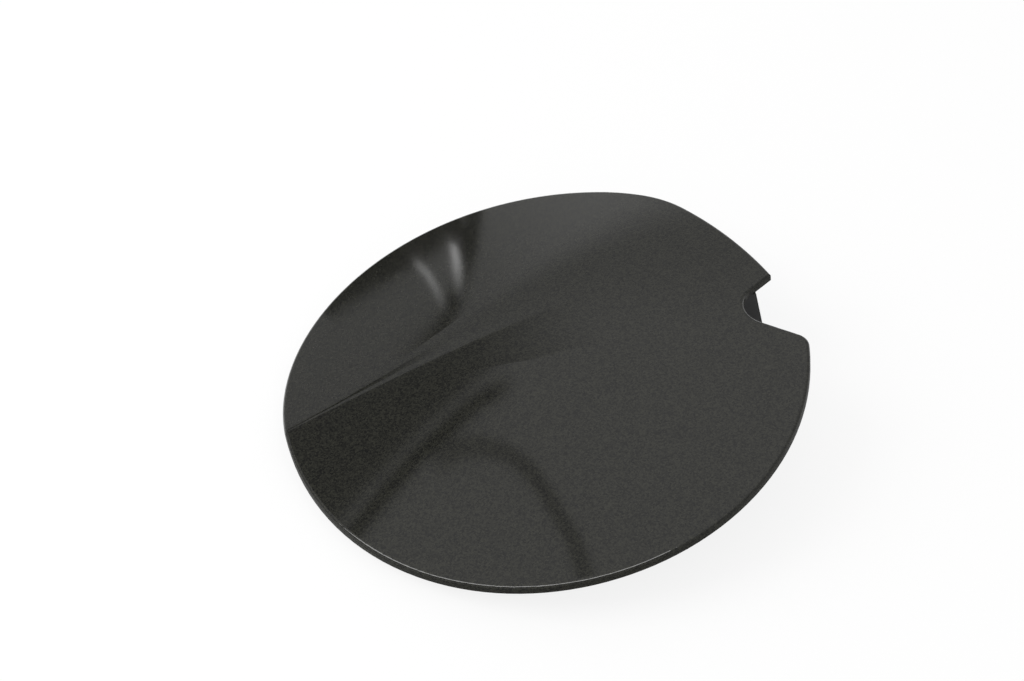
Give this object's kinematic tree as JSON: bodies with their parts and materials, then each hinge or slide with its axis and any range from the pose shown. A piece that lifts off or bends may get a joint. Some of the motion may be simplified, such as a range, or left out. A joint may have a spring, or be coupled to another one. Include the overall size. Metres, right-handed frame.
{
  "type": "fuel filler flap",
  "caption": "Round painted car fuel filler flap with a soft crease, a finger notch, and a latch tongue and hinge sockets on its ribbed inner carrier.",
  "frame": {"origin": "under the middle of the flap's outline, level with the foot of the latch tongue", "axes": "+X from the hinge side to the finger notch, +Z out of the car body, +Y to the side the crease falls away to"},
  "size_m": [0.1583, 0.16, 0.033],
  "materials": {
    "paint": "metallic dark grey paint under clear coat",
    "carrier": "moulded, fine grain",
    "buffer": "matt"
  },
  "bodies": {
    "root": {"outer_panel": "paint", "inner_carrier": "carrier", "buffer_near": "buffer", "buffer_far": "buffer"}
  },
  "joints": []
}
